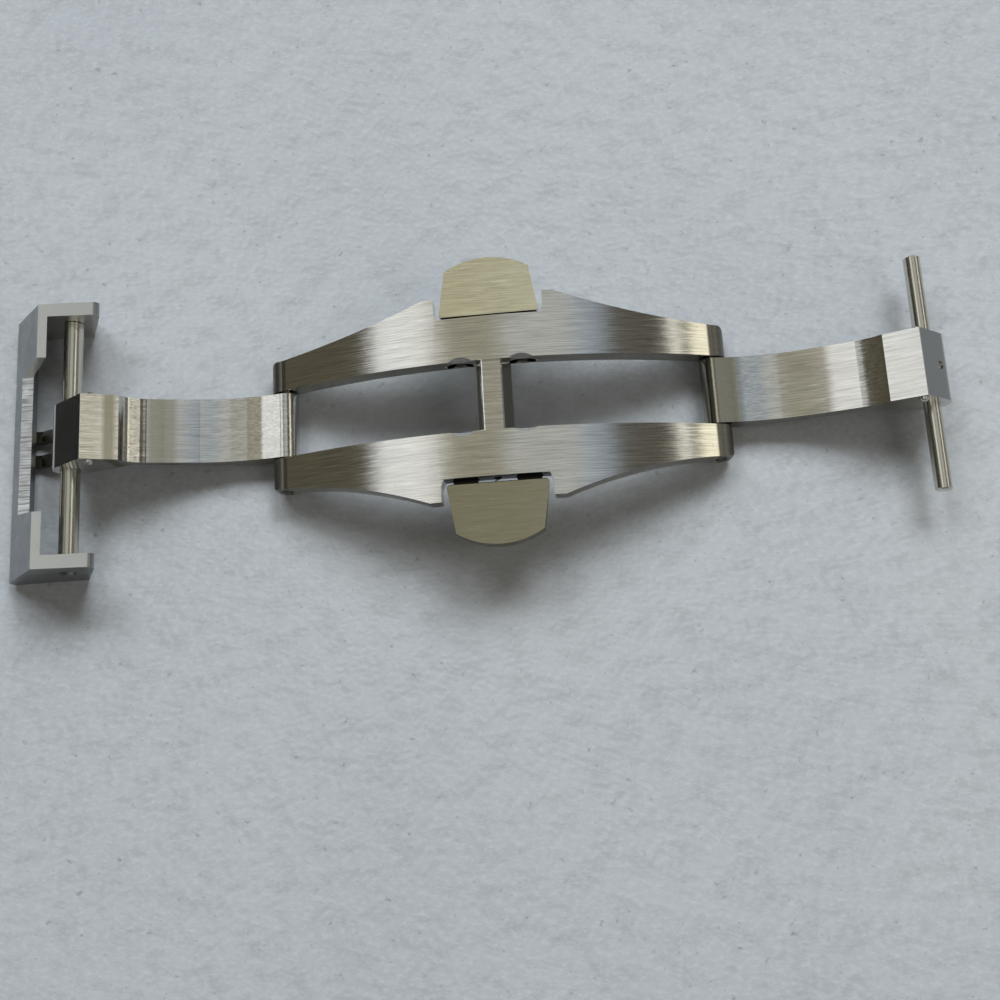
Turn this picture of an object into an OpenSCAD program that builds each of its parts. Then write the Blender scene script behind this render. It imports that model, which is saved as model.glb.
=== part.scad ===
// Double folding deployant clasp for a leather watch strap, lying open.
// X runs along the strap, Y across it, Z up. The table is z = 0.
// The wrist side of the folding arms and of the buckle faces up in this pose.

/* [Bridge] */
// Radius of the outer face of the curved bridge
arch_r = 51; // [46:0.5:60]
// Height of the top of the bridge above the table
arch_top = 6.7; // [6.2:0.05:7]
// Thickness of the bridge rails
rail_t = 1.8; // [1.6:0.05:2]
// Distance from the middle of the bridge to each hinge axis
hinge_x = 20.2; // [19:0.1:22]
// Height of the hinge axes above the table
hinge_z = 1.25; // [1.2:0.05:1.4]
// Half width of the window between the rails
window_half = 3.27; // [3.2:0.01:3.6]
// Half width of the bridge at its shoulders beside the pushers
shoulder_half = 9.5; // [9:0.1:10.5]
// Half width of the bridge at its hinge ends
end_half = 6.2; // [5.8:0.05:7]
// Radius of the hollow sweep of the outer edges
sweep_r = 49; // [40:1:70]
// Width of the crossbar's top face
crossbar_w = 1.98; // [1.4:0.02:2.1]
// Drop of the crossbar's top below the rails
crossbar_drop = 0.25; // [0.1:0.05:0.5]

/* [Hinge pins] */
// Radius of the hinge pins
hinge_pin_r = 0.55; // [0.4:0.05:0.65]
// Running clearance round pins that turn
run_gap = 0.05; // [0.03:0.01:0.09]

/* [Arms] */
// Width of both folding arms
arm_w = 6.2; // [6:0.05:6.4]
// Angle that the right arm folds from open to closed
right_fold = 153; // [150:0.5:155]
// Angle that the left arm folds, less because the buckle lies under it when open
left_fold = 150; // [149:0.5:153]
// Radius of the arm knuckles
knuckle_r = 1.15; // [1.1:0.05:1.2]
// Radius of the sweep from a blade's wrist side to its knuckle
root_sweep_r = 18; // [12:1:22]
// Depth of the step between block and blade on the left arm
left_step = 0.85; // [0.5:0.05:1]
// Radius of the polished hollow at the left step
left_hollow_r = 2.4; // [1.5:0.1:3]
// Depth of the step between block and blade on the right arm
right_step = 0.45; // [0.2:0.05:0.6]
// Radius of the hollow at the right step
right_hollow_r = 6; // [4:0.5:8]

/* [Latch studs] */
// Distance of the latch studs from the middle when closed
stud_x = 2.85; // [2.6:0.05:3.1]
// Height of the latch studs when closed
stud_z = 5.6; // [5.5:0.05:5.7]
// Radius of the stud tips
stud_r = 0.42; // [0.3:0.02:0.44]
// How far the stud tips stand out of the arm
stud_out = 0.4; // [0.2:0.05:0.45]
// Radius of the studs' collars
collar_r = 0.52; // [0.5:0.01:0.56]

/* [Pushers] */
// Half width of a pusher at its base
pusher_base_half = 4.62; // [4.2:0.02:4.7]
// Half width of a pusher at its outer corners
pusher_tip_half = 3.9; // [3.4:0.05:4.3]
// Distance of the pushers' outer corners from the middle
pusher_corner_y = 12.3; // [11.8:0.1:12.8]
// Distance of the pushers' outermost point from the middle
pusher_end_y = 13.45; // [13:0.05:14]
// Height of the pushers' top face
pusher_top = 5.9; // [5.85:0.05:5.95]
// Thickness of the pushers
pusher_t = 1.7; // [1.4:0.05:2.2]
// Travel of the pushers
pusher_travel = 0.35; // [0.2:0.05:0.4]

/* [Buckle] */
// Half width of the strap opening inside the buckle
strap_half = 11.5; // [11.3:0.05:12.5]
// Thickness of the buckle's legs at the wrist side
leg_t = 1.25; // [1:0.05:1.6]
// Depth of the buckle from its tube's axis to its show side
buckle_depth = 3.34; // [3.2:0.02:3.5]
// Spread of the buckle's sides from the wrist side to the show side
flare = 0.35; // [0.1:0.05:0.6]
// Radius of the tube that the buckle turns on
tube_r = 0.9; // [0.85:0.01:0.93]
// Closed distance of the tube left of the middle
tube_closed_x = 1.55; // [1.5:0.05:1.9]
// Closed height of the tube
tube_closed_z = 9.6; // [9.4:0.05:9.8]
// Width of each tongue
tongue_w = 1.15; // [0.9:0.05:1.3]
// Distance between the middles of the two tongues
tongue_pitch = 2.4; // [2.2:0.1:3]

/* [Strap bar] */
// Radius of the fixed strap bar
bar_r = 0.75; // [0.6:0.01:0.8]
// Half length of the fixed strap bar
bar_half = 10.95; // [10:0.05:11.1]
// Closed distance of the strap bar right of the middle
bar_closed_x = 2.75; // [2.7:0.05:3]
// Closed height of the strap bar
bar_closed_z = 8.4; // [8.3:0.05:8.6]

/* [Hidden] */
$fn = 96;
fine = 360;
reach = 60;
steel = "#b9b6ab";
bright = "#d8d6cf";
satin = "#8f9394";
function arc_height(x, r) = arch_top - arch_r + sqrt(r * r - x * x);
function turn(p, a) = [p[0] * cos(a) - p[1] * sin(a), p[0] * sin(a) + p[1] * cos(a)];
// Touching point on the circle round c with radius r, of a line from p
function touch(p, c, r, side) =
    let (d = p - c, a = atan2(d[1], d[0]) + side * acos(r / norm(d)))
    c + r * [cos(a), sin(a)];

side_half = arm_w / 2;

// Bridge
arch_z = arch_top - arch_r;
inner_r = arch_r - rail_t;
hinge = [hinge_x, hinge_z];
rail_end_r = hinge_z;
end_x = hinge_x + rail_end_r;
end_slope = 0.05;
sweep_x = end_x + sweep_r * end_slope;
sweep_y = end_half + sqrt(sweep_r * sweep_r - pow(sweep_r * end_slope, 2));
end_round = 0.7;
end_lap = 0.06;
rail_lap = 0.4;
fit_gap = 0.01;
recess_half = pusher_base_half + 0.38;
recess_slope = 0.3;
recess_floor = 7.45;
recess_wall_y = recess_floor + 0.65;
crossbar_chamfer = 0.12;
crossbar_lap = 0.05;
flange_left = 1.42;
flange_right = 1.75;
flange_t = 0.35;
scallop_r = 2.4;
scallop_depth = 0.45;
scallop_drop = 0.5;
scallop_tilt = atan(scallop_depth / scallop_drop);

// Pushers
slide_gap = 0.1;
press_gap = 0.05;
pusher_base = recess_floor + pusher_travel + press_gap;
pusher_bottom = pusher_top - pusher_t;
pusher_round = 0.5;
pusher_round_lap = 0.03;
pusher_rise = pusher_end_y - pusher_corner_y;
pusher_arc_r = (pow(pusher_tip_half, 2) + pow(pusher_rise, 2)) / (2 * pusher_rise);
tab_w = 2.2;
tab_t = 0.5;
tab_drop = 0.35;
tab_bottom = pusher_top - tab_drop - tab_t;
tab_tip = side_half + stud_out + press_gap;
guide_r = 0.35;
guide_y = 6;
guide_top = tab_bottom + tab_t + slide_gap + 0.3;
mouth_r = stud_r + 0.06;
mouth_end = side_half + stud_out + 2 * press_gap;
push_bore_r = 0.38;
push_bore_z = arc_height(0, inner_r) + push_bore_r + 0.15;
push_bore_in = 2.2;
push_bore_out = 1.8;
push_wire_r = 0.06;
push_coil_r = push_bore_r - push_wire_r - 0.06;

// Latch studs
stud_pos = [stud_x, stud_z];
bore_r = collar_r + 0.03;
bush_len = 0.5;
bush_gap = 0.03;
collar_len = 1;
collar_end = side_half - bush_len - press_gap;
latch_wire_r = 0.09;
latch_coil_r = 0.3;
latch_half = collar_end - collar_len - stud_out - press_gap;

// Arms, drawn closed with the hinge on the right
knuckle_bore_r = hinge_pin_r + run_gap;
blade_drop = 0.05;
left_root_x = 1.9;
left_face = [-0.41, 0.912];
left_block_x = 5.25;
right_root_x = 2.3;
right_face = [-0.353, 0.936];
right_block_x = 5.45;
block_foot = 1.6;
seam = 0.02;
root_sweep_lap = 0.01;
blade_lap = 0.4;
hinge_far = norm(hinge - [0, arch_z]);
hinge_a = atan2(hinge_x, hinge_z - arch_z);
tube_closed = [tube_closed_x, tube_closed_z];
bar_closed = [bar_closed_x, bar_closed_z];
right_root = [right_root_x, arc_height(right_root_x, inner_r)];
lock_way = right_face / norm(right_face);

// Buckle, drawn open with the hinge on the left and the tube at the origin
tube_pos = hinge + turn(tube_closed - hinge, -left_fold);
bar_pos = hinge + turn(bar_closed - hinge, -right_fold);
right_boss_r = abs(cross(bar_closed - right_root, lock_way));
rim_front = [2.3, 2.65];
front_r = 0.6;
buckle_low = -buckle_depth;
front_c = [6.45, buckle_low + front_r];
shift_x = (tube_pos[0] + front_c[0] + front_r - bar_pos[0] - right_boss_r) / 2;
tip_r = 0.55;
tip_c = [-2.6, 1.5];
belly = [-0.5, buckle_low];
frame_half = strap_half + leg_t;
rim_w = 0.95;
bar_inner_u = 4.35;
bar_edge_t = 0.9;
bar_foot_u = 6;
recess_y = 6.8;
recess_v = -0.8;
recess_rim_y = 7.6;
tube_bore_r = 0.42;
screw_r = 0.4;
leg_bore_r = screw_r + 0.02;
screw_in = 3;
head_r = 0.72;
head_t = 0.5;
head_bore_r = head_r + 0.02;
head_sink = 0.12;
slot_w = 0.25;
slot_t = 0.22;
slot_turn = 35;
tube_end_gap = 0.05;

// Tongues
buckle_swing = 100;
tongue_swing = 30;
eye_r = tube_r + 0.3;
tongue_gap = 0.1;
groove_h = 0.85;
groove_w = tongue_w + 2 * tongue_gap;
groove_end = 6.3;
tongue_t = 0.6;
tongue_tip = 5.9;
tongue_lift = 0.12;
prong_low = buckle_low + tongue_lift;
prong_knee = [4.1, prong_low];
prong_foot = touch(prong_knee, [0, 0], eye_r, -1);
prong_way = (prong_knee - prong_foot) / norm(prong_knee - prong_foot);

// Strap bar and its lock screw
bar_seat_r = bar_r + 0.17;
bar_gap = 0.02;
bar_chamfer = 0.12;
lock_r = 0.38;
lock_along = 2.6;
lock_sink = 0.15;
lock_slot_w = 0.16;
lock_slot_t = 0.15;
lock_end = right_boss_r - bar_seat_r - press_gap;

// Profile in X and Z, drawn as a slab of width w across the clasp
module slab(w) {
    rotate([90, 0, 0])
        linear_extrude(w, center = true)
            children();
}

// Both mirror images of what is drawn at the back
module both_sides() {
    children();
    mirror([0, 1, 0]) children();
}

module left_side() {
    mirror([1, 0, 0]) children();
}

module front_side() {
    mirror([0, 1, 0]) children();
}

// Puts the middle of the open clasp's length over the origin
module centred() {
    translate([shift_x, 0, 0]) children();
}

// Folds a closed arm's pieces, with the hinge on the right, out to the open pose
module opened(fold) {
    translate([hinge_x, 0, hinge_z])
        rotate([0, fold, 0])
            translate([-hinge_x, 0, -hinge_z])
                children();
}

// Moves what is drawn round the tube's axis to the tube
module at_tube() {
    left_side()
        translate([tube_pos[0], 0, tube_pos[1]])
            children();
}

// One round wire wound about the Y axis, with its ends cut square
module coil(half, coil_r, wire_r, turns) {
    sides = 6;
    steps = 12 * turns;
    pitch = (2 * half - 2 * wire_r) / turns;
    rings = [
        for (i = [0:steps])
            let (a = 30 * i, y = wire_r - half + pitch * i / 12)
            [
                for (k = [0:sides - 1])
                    let (b = 360 * k / sides, r = coil_r + wire_r * cos(b))
                    [r * cos(a), y + wire_r * sin(b), r * sin(a)]
            ]
    ];
    points = [for (ring = rings) each ring];
    walls = [
        for (i = [0:steps - 1], k = [0:sides - 1])
            let (n = (k + 1) % sides, a = i * sides, b = a + sides)
            each [[a + k, b + k, b + n], [a + k, b + n, a + n]]
    ];
    first = [for (k = [1:sides - 2]) [0, k, k + 1]];
    last = [for (k = [1:sides - 2]) [0, k + 1, k] + steps * sides * [1, 1, 1]];
    polyhedron(points, concat(walls, first, last));
}

module ring_band(outer, inner) {
    translate([0, arch_z])
        difference() {
            circle(outer, $fn = fine);
            circle(inner, $fn = fine);
        }
}

// Strip of a profile between two distances from the middle
module between_x(x1, x2) {
    translate([x1, 0])
        square([x2 - x1, reach]);
}

module bridge_plan() {
    difference() {
        square([2 * end_x + 2, 2 * shoulder_half], center = true);
        for (sx = [-1, 1], sy = [-1, 1])
            scale([sx, sy]) {
                translate([sweep_x, sweep_y])
                    circle(sweep_r, $fn = fine);
                translate([end_x, end_half] - (end_round - end_lap) * [1, 1])
                    difference() {
                        square(3 * end_round);
                        circle(end_round);
                    }
            }
        square([2 * reach, 2 * window_half], center = true);
        for (sy = [-1, 1])
            scale([1, sy])
                polygon([
                    [-recess_half, reach], [-recess_half, recess_wall_y],
                    [recess_slope - recess_half, recess_floor],
                    [recess_half - recess_slope, recess_floor],
                    [recess_half, recess_wall_y], [recess_half, reach]
                ]);
    }
}

module bridge_profile() {
    intersection() {
        ring_band(arch_r, inner_r);
        between_x(-hinge_x - rail_lap, hinge_x + rail_lap);
    }
    for (sx = [-1, 1])
        translate([sx * hinge_x, hinge_z])
            circle(rail_end_r);
}

module crossbar() {
    half = crossbar_w / 2;
    low = arc_height(0, inner_r);
    top = arch_top - crossbar_drop;
    slab(2 * (window_half + crossbar_lap))
        polygon([
            [-flange_left, low], [flange_right, low],
            [flange_right, low + flange_t], [half, low + flange_t],
            [half, top - crossbar_chamfer], [half - crossbar_chamfer, top],
            [crossbar_chamfer - half, top], [-half, top - crossbar_chamfer],
            [-half, low + flange_t], [-flange_left, low + flange_t]
        ]);
}

// Ramp in a rail's inner edge that lets a latch stud in
module scallop() {
    wide = scallop_r / cos(scallop_tilt);
    translate([stud_x, window_half + scallop_depth - wide, arch_top])
        rotate([-scallop_tilt, 0, 0])
            cylinder(r = scallop_r, h = 4 * rail_t, center = true);
}

// Passages in the back rail for the pusher's tabs, pins and spring
module rail_passages() {
    for (sx = [-1, 1])
        translate([sx * stud_x, 0, 0]) {
            translate([-tab_w / 2 - slide_gap, window_half - 1, tab_bottom - slide_gap])
                cube([tab_w + 2 * slide_gap, recess_floor, tab_t + 2 * slide_gap]);
            translate([0, guide_y, 0])
                cylinder(r = guide_r + fit_gap, h = guide_top);
            translate([0, window_half - 1, stud_z])
                rotate([-90, 0, 0])
                    cylinder(r = mouth_r, h = mouth_end - window_half + 1);
        }
    translate([0, recess_floor - push_bore_in, push_bore_z])
        rotate([-90, 0, 0])
            cylinder(r = push_bore_r, h = push_bore_in + 1);
}

module bridge() {
    centred()
        color(steel) {
            difference() {
                intersection() {
                    slab(reach) bridge_profile();
                    linear_extrude(reach) bridge_plan();
                }
                both_sides() {
                    scallop();
                    left_side() scallop();
                    rail_passages();
                }
                for (sx = [-1, 1])
                    translate([sx * hinge_x, 0, hinge_z])
                        rotate([90, 0, 0])
                            cylinder(r = hinge_pin_r + fit_gap, h = reach, center = true);
            }
            crossbar();
        }
}

module hinge_pin() {
    color(bright)
        translate([hinge_x, 0, hinge_z])
            rotate([90, 0, 0])
                cylinder(r = hinge_pin_r, h = 2 * end_half - 0.3, center = true);
}

module pusher_plan() {
    difference() {
        intersection() {
            polygon([
                [-pusher_base_half, pusher_base], [pusher_base_half, pusher_base],
                [pusher_tip_half, pusher_corner_y], [pusher_tip_half, reach],
                [-pusher_tip_half, reach], [-pusher_tip_half, pusher_corner_y]
            ]);
            translate([0, pusher_end_y - pusher_arc_r])
                circle(pusher_arc_r, $fn = fine);
        }
        for (sx = [-1, 1])
            scale([sx, -1])
                translate([pusher_base_half, -pusher_base] - (pusher_round - pusher_round_lap) * [1, 1])
                    difference() {
                        square(3 * pusher_round);
                        circle(pusher_round);
                    }
    }
}

// Sliding tab with a rounded end and a slot for its guide pin
module pusher_tab() {
    difference() {
        union() {
            translate([-tab_w / 2, tab_tip + tab_w / 2])
                square([tab_w, pusher_base + 0.5 - tab_tip - tab_w / 2]);
            translate([0, tab_tip + tab_w / 2])
                circle(tab_w / 2);
        }
        for (y = [0, pusher_travel])
            translate([0, guide_y + y])
                circle(guide_r + slide_gap);
        translate([-guide_r - slide_gap, guide_y])
            square([2 * (guide_r + slide_gap), pusher_travel]);
    }
}

module pusher() {
    color(steel)
        difference() {
            union() {
                translate([0, 0, pusher_bottom])
                    linear_extrude(pusher_t)
                        pusher_plan();
                for (sx = [-1, 1])
                    translate([sx * stud_x, 0, tab_bottom])
                        linear_extrude(tab_t)
                            pusher_tab();
            }
            translate([0, pusher_base - 1, push_bore_z])
                rotate([-90, 0, 0])
                    cylinder(r = push_bore_r, h = push_bore_out + 1);
        }
}

module pusher_spring() {
    first = recess_floor - push_bore_in;
    last = pusher_base + push_bore_out - pusher_travel - press_gap;
    color(bright)
        translate([0, (first + last) / 2, push_bore_z])
            coil((last - first) / 2, push_coil_r, push_wire_r, 7);
}

module pusher_pins() {
    low = arc_height(stud_x, inner_r);
    color(bright)
        for (sx = [-1, 1])
            translate([sx * stud_x, guide_y, low])
                cylinder(r = guide_r, h = guide_top - low);
}

// Sweep that carries a blade's wrist side over to the knuckle
module root_sweep(blade_r) {
    arc_middle = [0, arch_z];
    from_arc = blade_r - root_sweep_r;
    from_hinge = knuckle_r + root_sweep_r;
    cosine = (from_arc * from_arc + hinge_far * hinge_far - from_hinge * from_hinge)
        / (2 * from_arc * hinge_far);
    start_a = hinge_a - acos(cosine);
    start = [sin(start_a), cos(start_a)];
    half_a = (start_a + hinge_a) / 2;
    centre = arc_middle + from_arc * start;
    inside = blade_r + blade_lap;
    difference() {
        slab(arm_w)
            polygon([
                centre, hinge, arc_middle + inside * [sin(half_a), cos(half_a)],
                arc_middle + inside * start
            ]);
        slab(reach) translate(centre) circle(root_sweep_r + root_sweep_lap, $fn = fine);
    }
}

// An arm's body, closed, with its hinge on the right
module arm_body(root_x, face, block_x, step, hollow_r, bar, bore) {
    root = [root_x, arc_height(root_x, inner_r)];
    along = (bar - root) * face;
    boss_r = norm(bar - root - along * face);
    foot_x = block_x + block_foot;
    foot = [foot_x, arc_height(foot_x, arch_r - blade_drop)];
    blade_r = inner_r + step;
    hollow_z = blade_r - hollow_r;
    cosine = (inner_r * inner_r + hollow_z * hollow_z - hollow_r * hollow_r)
        / (2 * inner_r * hollow_z);
    hollow_a = asin(block_x / inner_r) + acos(cosine);
    difference() {
        union() {
            difference() {
                union() {
                    slab(arm_w)
                        intersection() {
                            ring_band(arch_r - blade_drop, blade_r);
                            between_x(block_x, hinge_x - hinge_pin_r);
                        }
                    slab(arm_w)
                        intersection() {
                            ring_band(blade_r + 0.2, inner_r);
                            between_x(foot_x - 0.5, blade_r * sin(hollow_a) - seam);
                        }
                    slab(arm_w) translate(bar) circle(boss_r);
                    slab(arm_w)
                        polygon([
                            root - 0.5 * face, root + along * face, bar,
                            touch(foot, bar, boss_r, 1), foot, [foot_x, root[1] - 1]
                        ]);
                }
                slab(reach) translate([0, arch_z]) circle(inner_r, $fn = fine);
                slab(reach)
                    translate([0, arch_z] + hollow_z * [sin(hollow_a), cos(hollow_a)])
                        circle(hollow_r, $fn = fine);
            }
            slab(arm_w) translate(hinge) circle(knuckle_r);
            root_sweep(blade_r);
        }
        slab(reach) translate(hinge) circle(knuckle_bore_r);
        slab(reach) translate(bar) circle(bore);
        slab(reach) translate(stud_pos) circle(bore_r);
    }
}

// Slot round the tube in which a tongue swings
module tongue_slot() {
    far = 9;
    slot_r = eye_r + tongue_gap;
    low = atan2(prong_way[1], prong_way[0]) + left_fold - buckle_swing - tongue_swing;
    foot = slot_r * [sin(low), -cos(low)];
    translate(tube_closed) {
        circle(slot_r);
        polygon([
            [0, 0], foot, foot + far * [cos(low), sin(low)],
            [far, far], [-far, far], [-far, 0]
        ]);
    }
}

module arm_left() {
    centred()
        color(steel)
            left_side()
                opened(left_fold)
                    difference() {
                        arm_body(left_root_x, left_face / norm(left_face), left_block_x,
                            left_step, left_hollow_r, tube_closed, tube_r + run_gap);
                        for (sy = [-1, 1])
                            translate([0, sy * tongue_pitch / 2, 0])
                                slab(tongue_w + 2 * tongue_gap)
                                    tongue_slot();
                    }
}

// Places what points along Z on the right block's end face, pointing inwards
module on_end_face() {
    at = right_root + lock_along * lock_way;
    translate([at[0], 0, at[1]])
        rotate([0, acos(-lock_way[0]), 0])
            children();
}

module arm_right() {
    centred()
        color(steel)
            opened(right_fold)
                difference() {
                    arm_body(right_root_x, right_face / norm(right_face), right_block_x,
                        right_step, right_hollow_r, bar_closed, bar_seat_r + bar_gap);
                    on_end_face()
                        translate([0, 0, -1])
                            cylinder(r = lock_r, h = lock_end + 1);
                }
}

// Ring that keeps the stud in its bore
module latch_bushes(fold) {
    color(steel)
        opened(fold)
            both_sides()
                translate([stud_x, side_half - bush_len, stud_z])
                    rotate([-90, 0, 0])
                        difference() {
                            cylinder(r = bore_r, h = bush_len);
                            cylinder(r = stud_r + bush_gap, h = 3 * bush_len, center = true);
                        }
}

module latch_spring(fold) {
    color(bright)
        opened(fold)
            translate([stud_x, 0, stud_z])
                coil(latch_half, latch_coil_r, latch_wire_r, 3);
}

module stud(fold) {
    dome = side_half + stud_out - stud_r;
    color(bright)
        opened(fold)
            translate([stud_x, 0, stud_z])
                rotate([-90, 0, 0])
                    rotate_extrude() {
                        translate([0, collar_end - collar_len])
                            square([collar_r, collar_len]);
                        translate([0, collar_end])
                            square([stud_r, dome - collar_end]);
                        intersection() {
                            translate([0, dome]) circle(stud_r);
                            translate([0, dome]) square(stud_r);
                        }
                    }
}

// The buckle's side view round the tube's axis, drawn right across
module buckle_body() {
    slab(reach)
        polygon([
            touch(rim_front, tip_c, tip_r, 1), rim_front,
            touch(rim_front, front_c, front_r, -1), front_c,
            [front_c[0], buckle_low], belly,
            touch(belly, tip_c, tip_r, -1), tip_c
        ]);
    slab(reach) translate(tip_c) circle(tip_r);
    slab(reach) translate(front_c) circle(front_r);
}

// Room for the strap, with undercuts behind the rim and under the bar's inner edge
module buckle_opening() {
    inner = rim_front - [rim_w, 0];
    slab(2 * strap_half)
        polygon([
            [-reach, buckle_low - 1], [bar_foot_u, buckle_low - 1], [bar_foot_u, buckle_low],
            [bar_inner_u, recess_v - bar_edge_t], [bar_inner_u, recess_v],
            inner, inner + [0, reach], [-reach, reach]
        ]);
}

// Places what points outwards along Z on the outside of the back leg
module on_leg() {
    translate([0, frame_half, 0])
        rotate([-90, 0, 0])
            children();
}

module buckle_frame() {
    low = buckle_low;
    high = rim_front[1];
    centred()
        color(satin)
            at_tube()
                difference() {
                    intersection() {
                        buckle_body();
                        rotate([90, 0, 90])
                            linear_extrude(reach, center = true)
                                polygon([
                                    [-frame_half, high], [frame_half, high],
                                    [frame_half + flare, low], [-frame_half - flare, low]
                                ]);
                    }
                    buckle_opening();
                    rotate([90, 0, 90])
                        linear_extrude(reach)
                            polygon([
                                [-recess_y, recess_v], [recess_y, recess_v],
                                [recess_rim_y, high + 1], [-recess_rim_y, high + 1]
                            ]);
                    for (sy = [-1, 1])
                        translate([0, sy * tongue_pitch / 2 - groove_w / 2, low - 1])
                            cube([groove_end, groove_w, groove_h + 1]);
                    both_sides()
                        on_leg() {
                            translate([0, 0, -reach / 2]) cylinder(r = leg_bore_r, h = reach);
                            translate([0, 0, -head_t - head_sink]) cylinder(r = head_bore_r, h = 2);
                        }
                }
}

module buckle_tube() {
    centred()
        color(bright)
            at_tube()
                rotate([90, 0, 0])
                    difference() {
                        cylinder(r = tube_r, h = 2 * (strap_half - tube_end_gap), center = true);
                        cylinder(r = tube_bore_r, h = reach, center = true);
                    }
}

module buckle_screw() {
    color(bright)
        at_tube()
            on_leg()
                translate([0, 0, -head_sink])
                    difference() {
                        union() {
                            translate([0, 0, -head_t]) cylinder(r = head_r, h = head_t);
                            translate([0, 0, -leg_t - screw_in])
                                cylinder(r = screw_r, h = leg_t + screw_in - head_t + 0.01);
                        }
                        rotate([0, 0, slot_turn])
                            translate([-2 * head_r, -slot_w / 2, -slot_t])
                                cube([4 * head_r, slot_w, 1]);
                    }
}

module tongue_profile() {
    upper = [prong_knee[0] + 0.1, prong_low + tongue_t];
    across = [-prong_way[1], prong_way[0]];
    end = tongue_t / 2;
    difference() {
        union() {
            circle(eye_r);
            polygon([
                prong_foot, prong_knee, [tongue_tip - end, prong_low],
                [tongue_tip - end, prong_low + tongue_t], upper,
                prong_foot + tongue_t * across
            ]);
            translate([tongue_tip - end, prong_low + end]) circle(end);
        }
        circle(tube_r + run_gap);
    }
}

module tongue() {
    color(bright)
        at_tube()
            translate([0, tongue_pitch / 2, 0])
                slab(tongue_w) tongue_profile();
}

module strap_bar() {
    centred()
        color(bright)
            opened(right_fold)
                translate([bar_closed_x, 0, bar_closed_z])
                    rotate([90, 0, 0]) {
                        cylinder(r = bar_r, h = 2 * (bar_half - bar_chamfer), center = true);
                        cylinder(r = bar_seat_r, h = arm_w, center = true);
                        for (turned = [0, 180])
                            rotate([turned, 0, 0])
                                translate([0, 0, bar_half - bar_chamfer])
                                    cylinder(r1 = bar_r, r2 = bar_r - bar_chamfer, h = bar_chamfer);
                    }
}

module bar_lock_screw() {
    centred()
        color(bright)
            opened(right_fold)
                on_end_face()
                    translate([0, 0, lock_sink])
                        difference() {
                            cylinder(r = lock_r - 0.01, h = lock_end - lock_sink);
                            translate([-1, -lock_slot_w / 2, -1])
                                cube([2, lock_slot_w, lock_slot_t + 1]);
                        }
}

module hinge_pin_left() {
    centred() left_side() hinge_pin();
}

module hinge_pin_right() {
    centred() hinge_pin();
}

module pusher_back() {
    centred() pusher();
}

module pusher_front() {
    centred() front_side() pusher();
}

module pusher_spring_back() {
    centred() pusher_spring();
}

module pusher_spring_front() {
    centred() front_side() pusher_spring();
}

module pusher_pins_back() {
    centred() pusher_pins();
}

module pusher_pins_front() {
    centred() front_side() pusher_pins();
}

module latch_bushes_left() {
    centred() left_side() latch_bushes(left_fold);
}

module latch_bushes_right() {
    centred() latch_bushes(right_fold);
}

module latch_spring_left() {
    centred() left_side() latch_spring(left_fold);
}

module latch_spring_right() {
    centred() latch_spring(right_fold);
}

module stud_left_back() {
    centred() left_side() stud(left_fold);
}

module stud_left_front() {
    centred() left_side() front_side() stud(left_fold);
}

module stud_right_back() {
    centred() stud(right_fold);
}

module stud_right_front() {
    centred() front_side() stud(right_fold);
}

module buckle_screw_back() {
    centred() buckle_screw();
}

module buckle_screw_front() {
    centred() front_side() buckle_screw();
}

module tongue_back() {
    centred() tongue();
}

module tongue_front() {
    centred() front_side() tongue();
}

bridge();
hinge_pin_left();
hinge_pin_right();
pusher_back();
pusher_front();
pusher_spring_back();
pusher_spring_front();
pusher_pins_back();
pusher_pins_front();
arm_left();
arm_right();
latch_bushes_left();
latch_bushes_right();
latch_spring_left();
latch_spring_right();
stud_left_back();
stud_left_front();
stud_right_back();
stud_right_front();
buckle_frame();
buckle_tube();
buckle_screw_back();
buckle_screw_front();
tongue_back();
tongue_front();
strap_bar();
bar_lock_screw();
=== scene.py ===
"""Looks of the open deployant clasp: metals, paper, light and camera, round its CAD pieces."""
import math

import bpy
from mathutils import Matrix, Vector

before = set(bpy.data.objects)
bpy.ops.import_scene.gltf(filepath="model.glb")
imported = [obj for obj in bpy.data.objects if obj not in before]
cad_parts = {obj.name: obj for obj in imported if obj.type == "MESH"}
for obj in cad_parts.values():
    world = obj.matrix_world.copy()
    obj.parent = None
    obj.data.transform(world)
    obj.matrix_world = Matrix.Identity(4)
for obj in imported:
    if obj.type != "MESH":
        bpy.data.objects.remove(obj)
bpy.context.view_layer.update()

MM = 0.001

# The clasp's own measures, as in its CAD source. Each arm folds open round a hinge of the bridge.
SHIFT = 3.4536 * MM          # the bridge's middle, from the frame's origin
HINGE_X = 20.2 * MM          # from the bridge's middle
HINGE_Z = 1.25 * MM
ARCH_Z = -44.3 * MM          # centre of the bridge's arc
LEFT_FOLD = math.radians(150)
RIGHT_FOLD = math.radians(153)

# Camera at the photograph's viewing angle
CAMERA_AZIMUTH = -0.3519
CAMERA_ELEVATION = 1.3450
CAMERA_ROLL = -0.4177
CAMERA_PLACE = (11.090 * MM, -30.039 * MM, 100.895 * MM)
CAMERA_SENSOR = 36           # this and the next in mm
CAMERA_LENS = 39.84

# Metals
STEEL = (0.62, 0.61, 0.575)
ARM_TINT = (0.58, 0.57, 0.53)
UNLIT = (0.02, 0.02, 0.02)   # painted shade for faces deep in a gap
PIT = (0.10, 0.09, 0.08)
BRUSHED = 0.24               # contrast of the brush lines on bridge and arms
LINES_ALONG = 300            # noise per metre along the brush lines
LINES_ACROSS = 9000
NO_LINES = 900               # noise per metre on metal that isn't brushed
LINE_DEPTH = 0.00002
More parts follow.
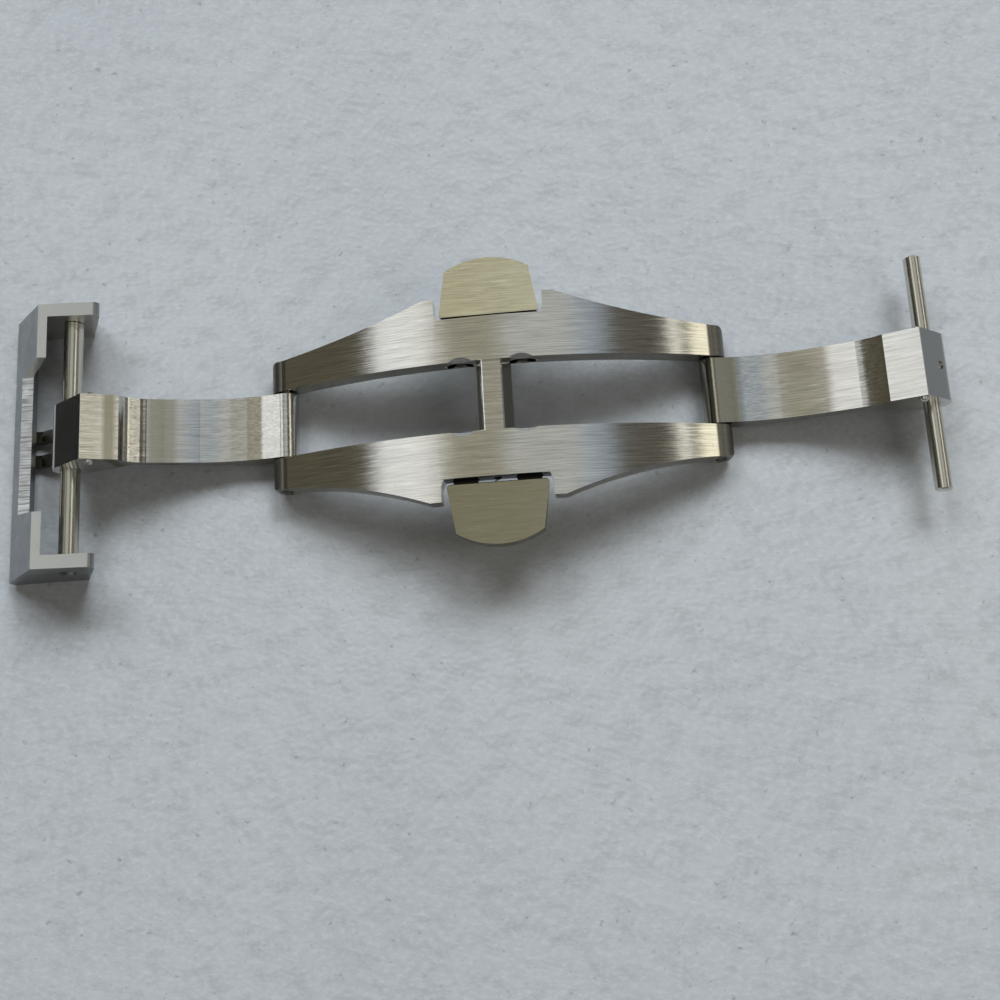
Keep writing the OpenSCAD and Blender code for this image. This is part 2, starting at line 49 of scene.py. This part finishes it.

# Places with painted shade or painted light, and the buckle's cutter marks, as the least and most
# of each measure. None is no limit.
# On the bridge: distance from its middle along the clasp, distance from the middle line, height
# Painted shade on the crossbar's low flanges
FLANGES = ((None, 2.0 * MM), (None, 3.2 * MM), (4.6 * MM, 5.4 * MM))
FLANGE_PAINTED_SHADE = (0.095, 0.10, 0.10)
# Painted shade behind the pushers and in the bores of their springs
RECESSES = ((None, 5.0 * MM), (7.4 * MM, 7.52 * MM), (None, 6.35 * MM))
SPRING_BORES = ((None, 0.45 * MM), (5.2 * MM, 7.5 * MM), (5.0 * MM, 5.85 * MM))
# From the first distance to the second the rolled ends' painted shade and their dullness set in
ROLLED_SHADE_AT = (19.80 * MM, 20.0 * MM)
ROLLED_DULL_AT = (19.85 * MM, 20.05 * MM)
ROLLED_PAINTED_SHADE = (0.15, 0.145, 0.125)
# On the pushers: the front one's side of the middle line, painted darker as shade, and the reach
# of the rail's shade, painted dark on tabs and base face
FRONT_SIDE = (None, 0.0)
RAIL_DARK = (None, 7.9 * MM)
FRONT_PLATE_PAINTED_SHADE = (0.20, 0.19, 0.13)
# On the buckle's tube and tongues, where a painted shade lies along the top: left of the middle,
# and how far the face leans along X
TUBE_TOP = ((None, 0.0), (-0.14, 0.12))
TUBE_TOP_PAINTED_SHADE = (0.24, 0.23, 0.18)
# Bands of painted shade across the arms, in place of dark reflections: start, end and soft edge
# in mm, strength, tone
LEFT_SHADE_BANDS = [(-32.6, -31.7, 0.2, 0.8, (0.26, 0.25, 0.19)),
              (-29.3, -26.9, 0.3, 0.7, (0.36, 0.35, 0.29))]
RIGHT_SHADE_BANDS = [(22.0, 25.9, 0.4, 0.85, (0.24, 0.23, 0.185))]
# End face of the right arm's block, which gets a painted shade, as (x, z): a point on it and the
# way it faces
END_FACE = (41.24 * MM, 6.17 * MM)
END_FACE_WAY = (0.6735, 0.7392)
END_FACE_DEPTH = (-0.04 * MM, None)
END_FACE_PAINTED_SHADE = (0.29, 0.287, 0.28)
# On the buckle: faces that look up and walls that look inward, both given painted light, height
# of the recess's floor
LOOKS_UP = (0.92, None)
LOOKS_INWARD = (None, -0.9)
RECESS_FLOOR = (2.3 * MM, 2.7 * MM)
WRIST_FACE_BRUSHED_AND_LIT = (0.66, 0.68, 0.70)
INNER_WALL_PAINTED_LIGHT = (0.70, 0.69, 0.64)
CUTTER_MARK_TONE = (0.16, 0.16, 0.15)
CUTTER_MARKS = (240, 4600)   # noise per metre along X and Y

# Lean along X of faces that were ground by hand: place along the clasp in mm, lean
LEFT_CROWN = [
    (-34.6, 0.15), (-34.2, 0.20), (-32.6, 0.20), (-31.7, 0.21), (-31.35, 0.225), (-31.0, 0.0),
    (-30.85, -0.22), (-30.4, 0.0), (-29.95, 0.24), (-29.85, 0.10), (-29.7, 0.225), (-29.5, 0.225),
    (-29.3, -0.15), (-28.0, -0.16), (-26.6, 0.01), (-25.6, 0.055), (-24.92, 0.08), (-24.82, 0.10),
    (-23.6, 0.16), (-22.9, 0.17), (-21.9, 0.07), (-20.5, 0.15), (-20.1, 0.06), (-19.1, 0.10),
    (-18.7, 0.0), (-17.6, 0.05), (-17.0, 0.05),
]
RIGHT_CROWN = [
    (23.0, -0.23), (25.3, -0.20), (25.8, 0.01), (26.8, 0.05), (27.8, 0.10), (28.4, 0.09),
    (29.6, 0.0), (30.5, 0.0), (33.4, 0.0), (34.2, -0.05), (35.9, -0.05), (36.15, -0.095),
    (36.5, -0.075), (36.9, -0.05), (37.3, 0.0),
]
CROSSBAR_CROWN = [(2.2, 0.0), (2.42, -0.19), (2.66, -0.19), (2.72, 0.0)]   # its worn left edge
CROSSBAR_HALF = 3.3 * MM     # the rails beside the crossbar don't lean

# What the steel mirrors: angle in degrees from -90 at the left over 0 overhead to 90, colour
OLIVE = (0.115, 0.105, 0.075)
MID = (0.40, 0.385, 0.31)
CREAM = (1.45, 1.38, 1.10)
GREY = (0.56, 0.575, 0.555)
STRIPE = (1.25, 1.23, 1.12)
GAP = (0.08, 0.075, 0.065)
ROOM_BANDS = [
    (-90, (0.02, 0.02, 0.02)), (-68, (0.03, 0.03, 0.03)), (-63, OLIVE), (-38, OLIVE),
    (-34, (1.08, 1.11, 1.13)), (-22, (1.04, 1.05, 1.04)), (-16, MID), (-4, MID), (0, GREY),
    (15, GREY), (19, (0.45, 0.51, 0.575)), (24, (0.35, 0.40, 0.46)), (28, (0.14, 0.135, 0.115)),
    (41.5, (0.11, 0.10, 0.085)), (42.8, STRIPE), (45.3, STRIPE), (45.8, GAP), (47.8, GAP),
    (48.5, CREAM), (55, CREAM), (58, (0.15, 0.145, 0.13)), (90, (0.22, 0.22, 0.22)),
]
ROOM_ENDS = (0.17, 0.175, 0.18)      # mirrored from before and behind the clasp
ROOM_FILL = (0.13, 0.121, 0.10)      # the room's light on matt faces
BACKDROP = (0.42, 0.445, 0.465)      # what a low camera sees above the table

# Lamps: name, place and size in metres, power in watts, colour
DAYLIGHT = (0.94, 0.985, 1.0)
WARM_LIGHT = (1.0, 0.95, 0.88)
LAMPS = [
    ("key_light", (0.55, 1.10, 1.02), (0.8, 0.6), 18.5, DAYLIGHT),
    ("far_light", (-0.50, 1.10, 1.02), (0.8, 0.6), 10.5, DAYLIGHT),
    ("side_light", (0.40, -0.12, 0.34), (0.20, 0.20), 0.3, WARM_LIGHT),
]

FLOOR_REACH = 1.5
FLOOR_CORNERS = [(-1, -1), (1, -1), (1, 1), (-1, 1)]
PAPER_TURN = 0.5             # of the fibres' way, in radians
PAPER_STRETCH = 1.8
PAPER_DEPTH = 0.00008


def arc_centre(fold):
    """Centre of an opened arm's arc, as x from the bridge's middle and z."""
    dx, dz = -HINGE_X, ARCH_Z - HINGE_Z
    cos, sin = math.cos(-fold), math.sin(-fold)
    return HINGE_X + dx * cos - dz * sin, HINGE_Z + dx * sin + dz * cos


# Centres of the arcs that the brushed grain follows, as (x, z)
left_x, left_z = arc_centre(LEFT_FOLD)
right_x, right_z = arc_centre(RIGHT_FOLD)
BRIDGE_ARC = (SHIFT, ARCH_Z)
LEFT_ARC = (SHIFT - left_x, left_z)
RIGHT_ARC = (SHIFT + right_x, right_z)


class Nodes:
    """Short hand for building a shader's node tree."""

    def __init__(self, owner):
        owner.use_nodes = True
        self.tree = owner.node_tree
        self.tree.nodes.clear()

    def add(self, kind, **values):
        node = self.tree.nodes.new(kind)
        for key, value in values.items():
            setattr(node, key, value)
        return node

    def link(self, source, target):
        self.tree.links.new(source, target)

    def put(self, socket, value):
        """Links another node's output to the socket, or sets the plain value."""
        if hasattr(value, "is_linked"):
            self.link(value, socket)
        else:
            socket.default_value = (*value, 1) if socket.type == "RGBA" else value

    def math(self, operation, *values):
        node = self.add("ShaderNodeMath", operation=operation)
        for socket, value in zip(node.inputs, values):
            self.put(socket, value)
        return node.outputs[0]

    def within(self, values, limits):
        """One where each value lies between its two limits, otherwise zero. None is no limit."""
        result = 1.0
        for value, (low, high) in zip(values, limits):
            for operation, limit in (("GREATER_THAN", low), ("LESS_THAN", high)):
                if limit is not None:
                    result = self.math("MULTIPLY", result, self.math(operation, value, limit))
        return result

    def combine(self, x, y, z):
        node = self.add("ShaderNodeCombineXYZ")
        for socket, value in zip(node.inputs, (x, y, z)):
            self.put(socket, value)
        return node.outputs[0]

    def separate(self, vector):
        node = self.add("ShaderNodeSeparateXYZ")
        self.link(vector, node.inputs[0])
        return node.outputs

    def noise(self, vector, scale, detail, roughness):
        node = self.add("ShaderNodeTexNoise")
        node.inputs["Scale"].default_value = scale
        node.inputs["Detail"].default_value = detail
        node.inputs["Roughness"].default_value = roughness
        self.link(vector, node.inputs["Vector"])
        return node.outputs["Fac"]

    def spread(self, value, low, high, start=0.3, end=0.7):
        """Low where the value is start or less, high where it is end or more, even between."""
        node = self.add("ShaderNodeMapRange")
        node.inputs["From Min"].default_value = start
        node.inputs["From Max"].default_value = end
        node.inputs["To Min"].default_value = low
        node.inputs["To Max"].default_value = high
        self.link(value, node.inputs["Value"])
        return node.outputs["Result"]

    def mix(self, factor, first, second):
        """Mixes two colours, in the node's second set of sockets."""
        node = self.add("ShaderNodeMix", data_type="RGBA")
        self.put(node.inputs[0], factor)
        self.put(node.inputs[6], first)
        self.put(node.inputs[7], second)
        return node.outputs[2]

    def ramp(self, factor, stops):
        node = self.add("ShaderNodeValToRGB")
        elements = node.color_ramp.elements
        for place, _ in stops[2:]:
            elements.new(place)
        for element, (place, colour) in zip(elements, stops):
            element.position = place
            element.color = (*colour, 1)
        self.put(node.inputs[0], factor)
        return node.outputs[0]

    def bump(self, height, strength, distance, normal=None):
        node = self.add("ShaderNodeBump")
        node.inputs["Strength"].default_value = strength
        node.inputs["Distance"].default_value = distance
        self.link(height, node.inputs["Height"])
        if normal is not None:
            self.link(normal, node.inputs["Normal"])
        return node.outputs["Normal"]


def surface(name):
    """A new material's nodes and its shader."""
    material = bpy.data.materials.new(name)
    n = Nodes(material)
    out = n.add("ShaderNodeOutputMaterial")
    shader = n.add("ShaderNodeBsdfPrincipled")
    n.link(shader.outputs[0], out.inputs[0])
    return material, n, shader


def tilted(n, strokes, lean, crown):
    """The surface's normal, leant along X as each brush line leans, and by the crown."""
    lean_x = n.math("MULTIPLY", n.math("SUBTRACT", strokes, 0.5), lean)
    if crown is not None:
        lean_x = n.math("ADD", lean_x, crown)
    moved = n.add("ShaderNodeVectorMath", operation="ADD")
    n.link(n.add("ShaderNodeNewGeometry").outputs["Normal"], moved.inputs[0])
    n.link(n.combine(lean_x, 0.0, 0.0), moved.inputs[1])
    normal = n.add("ShaderNodeVectorMath", operation="NORMALIZE")
    n.link(moved.outputs[0], normal.inputs[0])
    return normal.outputs[0]


def crowned(n, x, y, stops, half_width):
    """How far a ground face leans along X, from its stops.

    The ramp keeps each lean as zero + scale * lean, because it holds nothing below 0.
    """
    zero, scale = 0.5, 2.0
    low, high = stops[0][0], stops[-1][0]
    place = n.spread(x, 0, 1, low * MM, high * MM)
    levels = [((at - low) / (high - low), (zero + scale * lean,) * 3) for at, lean in stops]
    lean = n.math("DIVIDE", n.math("SUBTRACT", n.ramp(place, levels), zero), scale)
    if half_width is None:
        return lean
    return n.math("MULTIPLY", lean, n.within([n.math("ABSOLUTE", y)], [(None, half_width)]))


def metal(name, base, rough, grain=None, tint=None, streak=0.05, lines=1.0, lean=0.0, crown=None,
          crown_half=None, painted_light_and_marks=None, dull=None):
    """Brushed or polished steel. grain is an arc's centre, or "x" or "y" for straight brushing.

    tint: colour of its cloudy patches. streak: contrast of the brush lines. lines: their depth.
    lean: how far they lean to and fro. crown: stops of a lean that the whole face has.
    painted_light_and_marks: changes the colour by place, with painted shade and light and with
    cutter marks. dull: gives the least roughness by place.
    """
    material, n, shader = surface(name)
    shader.inputs["Metallic"].default_value = 1.0
    place = n.add("ShaderNodeTexCoord").outputs["Object"]
    x, y, z = n.separate(place)
    along, side, up = (y, x, z) if grain == "y" else (x, y, z)
    if isinstance(grain, tuple):
        dx = n.math("SUBTRACT", x, grain[0])
        dz = n.math("SUBTRACT", z, grain[1])
        squares = n.math("ADD", n.math("MULTIPLY", dx, dx), n.math("MULTIPLY", dz, dz))
        up = n.math("SQRT", squares)
    slow, fast = (LINES_ALONG, LINES_ACROSS) if grain else (NO_LINES, NO_LINES)

    def drawn(stretch, width, detail, roughness):
        """Noise that is drawn out along the brush lines."""
        vector = n.combine(n.math("MULTIPLY", along, slow * stretch),
                           n.math("MULTIPLY", side, fast * width),
                           n.math("MULTIPLY", up, fast * width))
        return n.noise(vector, 1.0, detail, roughness)

    fine = drawn(1.0, 1.0, 3.0, 0.6)
    broad = drawn(0.5, 0.25, 2.0, 0.5)
    strokes = drawn(2.4, 0.75, 3.0, 0.7)
    cloud = n.noise(place, 260, 3.0, 0.6)
    dust = n.noise(place, 2600, 2.0, 0.6)

    light = tuple(min(1, c * (1 + streak)) for c in base)
    dark = tuple(c * (1 - streak) for c in base)
    shade = n.math("ADD", n.math("MULTIPLY", broad, 0.22), n.math("MULTIPLY", fine, 0.78))
    colour = n.mix(n.spread(shade, 0, 1, 0.35, 0.65), dark, light)
    colour = n.mix(n.spread(cloud, 0, 0.5, 0.45, 0.75), colour, tint or base)
    colour = n.mix(n.spread(dust, 0, 0.3, 0.68, 0.78), colour, PIT)
    if painted_light_and_marks is not None:
        colour = painted_light_and_marks(n, colour, x, y, z)
    n.link(colour, shader.inputs["Base Color"])

    shine = n.math("ADD", n.spread(fine, rough * 0.75, rough * 1.3), n.spread(cloud, 0, 0.03))
    if dull is not None:
        shine = n.math("MAXIMUM", shine, dull(n, x))
    n.link(shine, shader.inputs["Roughness"])

    height = n.math("ADD", n.math("MULTIPLY", fine, 0.6), n.math("MULTIPLY", broad, 0.4))
    bend = crowned(n, x, y, crown, crown_half) if crown else None
    normal = tilted(n, strokes, lean, bend) if lean else None
    n.link(n.bump(height, 0.35 * lines, LINE_DEPTH, normal), shader.inputs["Normal"])
    return material


def from_middle(n, x):
    """Distance along the clasp from the bridge's middle."""
    return n.math("ABSOLUTE", n.math("SUBTRACT", x, SHIFT))


def facing(n):
    """The three parts of the face's direction, turning with its piece."""
    return n.separate(n.add("ShaderNodeTexCoord").outputs["Normal"])


def banded(n, colour, x, bands):
    """Lays bands of painted shade across an arm, each with a soft edge."""
    for start, end, soft, strength, tone in bands:
        rise = n.spread(x, 0, 1, (start - soft) * MM, (start + soft) * MM)
        fall = n.spread(x, 1, 0, (end - soft) * MM, (end + soft) * MM)
        colour = n.mix(n.math("MULTIPLY", n.math("MULTIPLY", rise, fall), strength), colour, tone)
    return colour


def bridge_painted_shade(n, colour, x, y, z):
    """Painted shade on the crossbar's flanges, behind the pushers, in the bores of their springs,
    and on the rolled ends.
    """
    place = (from_middle(n, x), n.math("ABSOLUTE", y), z)
    colour = n.mix(n.within(place, FLANGES), colour, FLANGE_PAINTED_SHADE)
    colour = n.mix(n.within(place, RECESSES), colour, UNLIT)
    colour = n.mix(n.within(place, SPRING_BORES), colour, UNLIT)
    return n.mix(n.spread(place[0], 0, 0.85, *ROLLED_SHADE_AT), colour, ROLLED_PAINTED_SHADE)


def bridge_ends(n, x):
    """Roughness of the rolled ends, which are dull."""
    return n.spread(from_middle(n, x), 0, 0.42, *ROLLED_DULL_AT)


def pusher_painted_shade(n, colour, x, y, z):
    """Painted shade: the front plate is darker, and tabs and base face are painted dark where
    they lie in the rail's shade.
    """
    front = n.math("MULTIPLY", n.within([y], [FRONT_SIDE]), 0.72)
    colour = n.mix(front, colour, FRONT_PLATE_PAINTED_SHADE)
    return n.mix(n.within([n.math("ABSOLUTE", y)], [RAIL_DARK]), colour, UNLIT)


def tube_painted_shade(n, colour, x, y, z):
    """Painted shade on the buckle's tube and tongues, along the line that faces straight up."""
    return n.mix(n.within((x, facing(n)[0]), TUBE_TOP), colour, TUBE_TOP_PAINTED_SHADE)


def left_painted_shade(n, colour, x, y, z):
    """Two bands of painted shade across the left arm."""
    return banded(n, colour, x, LEFT_SHADE_BANDS)


def right_painted_shade(n, colour, x, y, z):
    """Painted shade in a band by the right arm's knuckle, and on the block's end face."""
    colour = banded(n, colour, x, RIGHT_SHADE_BANDS)
    beyond_x, beyond_z = (n.math("MULTIPLY", n.math("SUBTRACT", value, at), way)
                          for value, at, way in zip((x, z), END_FACE, END_FACE_WAY))
    end_face = n.within([n.math("ADD", beyond_x, beyond_z)], [END_FACE_DEPTH])
    return n.mix(end_face, colour, END_FACE_PAINTED_SHADE)


def buckle_marks_and_painted_light(n, colour, x, y, z):
    """Painted light on the wrist faces, which are also brushed, and on the inner walls, and
    cutter marks on the recess's floor.
    """
    _, facing_y, facing_z = facing(n)
    top = n.within([facing_z], [LOOKS_UP])
    outward = n.math("MULTIPLY", facing_y, n.math("SIGN", y))
    colour = n.mix(top, colour, WRIST_FACE_BRUSHED_AND_LIT)
    colour = n.mix(n.within([outward], [LOOKS_INWARD]), colour, INNER_WALL_PAINTED_LIGHT)
    ticks = n.combine(*(n.math("MULTIPLY", value, per_metre)
                        for value, per_metre in zip((x, y), CUTTER_MARKS)), 0.0)
    marks = n.spread(n.noise(ticks, 1.0, 2.0, 0.6), 0, 0.7, 0.46, 0.62)
    recess_floor = n.math("MULTIPLY", top, n.within([z], [RECESS_FLOOR]))
    return n.mix(n.math("MULTIPLY", recess_floor, marks), colour, CUTTER_MARK_TONE)


def paper():
    """Rough paper with fibres, soft patches and a few flecks."""
    material, n, shader = surface("paper")
    place = n.add("ShaderNodeTexCoord").outputs["Object"]
    stretched = n.add("ShaderNodeMapping")
    stretched.inputs["Rotation"].default_value = (0, 0, PAPER_TURN)
    stretched.inputs["Scale"].default_value = (1, PAPER_STRETCH, 1)
    n.link(place, stretched.inputs["Vector"])
    fibre = n.noise(stretched.outputs[0], 1300, 5.0, 0.7)
    patch = n.noise(stretched.outputs[0], 330, 5.0, 0.68)
    cloud = n.noise(place, 30, 3.0, 0.5)
    fleck = n.noise(place, 1100, 3.0, 0.6)
    colour = n.mix(n.spread(cloud, 0, 1), (0.49, 0.525, 0.575), (0.54, 0.565, 0.60))
    colour = n.mix(n.spread(patch, 0, 0.5, 0.46, 0.70), colour, (0.35, 0.365, 0.39))
    colour = n.mix(n.spread(fibre, 0, 0.6, 0.45, 0.75), colour, (0.68, 0.70, 0.73))
    colour = n.mix(n.spread(fleck, 0, 0.5, 0.64, 0.74), colour, (0.20, 0.205, 0.215))
    n.link(colour, shader.inputs["Base Color"])
    shader.inputs["Roughness"].default_value = 0.75
    shader.inputs["Specular IOR Level"].default_value = 0.2
    n.link(n.bump(fibre, 0.25, PAPER_DEPTH), shader.inputs["Normal"])
    return material


def surroundings():
    """The room: bright and dark areas in a row from left to right overhead."""
    world = bpy.data.worlds.new("room")
    bpy.context.scene.world = world
    n = Nodes(world)
    out = n.add("ShaderNodeOutputWorld")
    shade = n.add("ShaderNodeBackground")
    n.link(shade.outputs[0], out.inputs[0])
    x, y, z = n.separate(n.add("ShaderNodeTexCoord").outputs["Generated"])
    angle = n.math("ARCTAN2", x, n.math("MAXIMUM", z, 0.0))
    place = n.math("ADD", n.math("DIVIDE", angle, math.pi), 0.5)
    bands = n.ramp(place, [((degrees + 90) / 180, colour) for degrees, colour in ROOM_BANDS])
    ends = n.spread(n.math("ABSOLUTE", y), 0, 1, 0.55, 0.85)
    mirrored = n.mix(ends, bands, ROOM_ENDS)
    ray = n.add("ShaderNodeLightPath").outputs
    room = n.mix(ray["Is Glossy Ray"], ROOM_FILL, mirrored)
    n.link(n.mix(ray["Is Camera Ray"], room, BACKDROP), shade.inputs["Color"])


def placed(name, data):
    item = bpy.data.objects.new(name, data)
    bpy.context.scene.collection.objects.link(item)
    return item


def softbox(name, place, size, power, colour):
    """A rectangular lamp that shines on the clasp and that the steel doesn't mirror."""
    data = bpy.data.lights.new(name, "AREA")
    data.shape = "RECTANGLE"
    data.size, data.size_y = size
    data.energy = power
    data.color = colour
    lamp = placed(name, data)
    lamp.location = place
    lamp.rotation_euler = (-Vector(place)).to_track_quat("-Z", "Y").to_euler()
    lamp.visible_glossy = False


def set_camera():
    flat = math.cos(CAMERA_ELEVATION)
    ahead = Vector((math.sin(CAMERA_AZIMUTH) * flat, math.cos(CAMERA_AZIMUTH) * flat,
                    -math.sin(CAMERA_ELEVATION)))
    level = Vector((math.cos(CAMERA_AZIMUTH), -math.sin(CAMERA_AZIMUTH), 0))
    top = level.cross(ahead)
    cos, sin = math.cos(CAMERA_ROLL), math.sin(CAMERA_ROLL)
    turn = Matrix((cos * level + sin * top, cos * top - sin * level, -ahead)).transposed()
    data = bpy.data.cameras.new("camera")
    data.sensor_width = CAMERA_SENSOR
    data.lens = CAMERA_LENS
    data.clip_start = 0.001
    data.clip_end = 10
    camera = placed("camera", data)
    camera.matrix_world = Matrix.Translation(CAMERA_PLACE) @ turn.to_4x4()
    bpy.context.scene.camera = camera


bridge_steel = metal("bridge_steel", STEEL, 0.10, BRIDGE_ARC, (0.58, 0.565, 0.51), BRUSHED,
                     lean=0.045, crown=CROSSBAR_CROWN, crown_half=CROSSBAR_HALF,
                     painted_light_and_marks=bridge_painted_shade, dull=bridge_ends)
left_steel = metal("arm_left_steel", STEEL, 0.12, LEFT_ARC, ARM_TINT, BRUSHED,
                   lean=0.11, crown=LEFT_CROWN, painted_light_and_marks=left_painted_shade)
right_steel = metal("arm_right_steel", STEEL, 0.12, RIGHT_ARC, ARM_TINT, BRUSHED,
                    lean=0.11, crown=RIGHT_CROWN, painted_light_and_marks=right_painted_shade)
pusher_steel = metal("pusher_steel", (0.84, 0.81, 0.63), 0.20, "x", (0.80, 0.76, 0.58), 0.16,
                     lines=1.6, lean=0.10, painted_light_and_marks=pusher_painted_shade)
buckle_steel = metal("buckle_steel", (0.34, 0.355, 0.36), 0.34, tint=(0.31, 0.33, 0.335),
                     lines=0.5, painted_light_and_marks=buckle_marks_and_painted_light)
polished = metal("polished_steel", (0.62, 0.605, 0.54), 0.21, "y", streak=0.02, lines=0.1,
                 painted_light_and_marks=tube_painted_shade)
pin_steel = metal("pin_steel", (0.58, 0.57, 0.54), 0.20, lines=0.3)
wire = metal("spring_wire", (0.16, 0.16, 0.155), 0.3, lines=0.3)

# Steel of each piece that isn't plain pin steel
FINISH = {
    "bridge": bridge_steel, "arm_left": left_steel, "arm_right": right_steel,
    "pusher_back": pusher_steel, "pusher_front": pusher_steel,
    "buckle_frame": buckle_steel, "buckle_tube": polished, "strap_bar": polished,
    "tongue_back": polished, "tongue_front": polished,
    "pusher_spring_back": wire, "pusher_spring_front": wire,
    "latch_spring_left": wire, "latch_spring_right": wire,
}

for name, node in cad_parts.items():
    node.data.materials.clear()
    node.data.materials.append(FINISH.get(name, pin_steel))

mesh = bpy.data.meshes.new("floor")
mesh.from_pydata([(x * FLOOR_REACH, y * FLOOR_REACH, 0) for x, y in FLOOR_CORNERS], [],
                 [(0, 1, 2, 3)])
mesh.materials.append(paper())
floor = placed("floor", mesh)

surroundings()
for lamp in LAMPS:
    softbox(*lamp)
set_camera()
bpy.context.scene.view_settings.view_transform = "Standard"

bpy.context.view_layer.update()
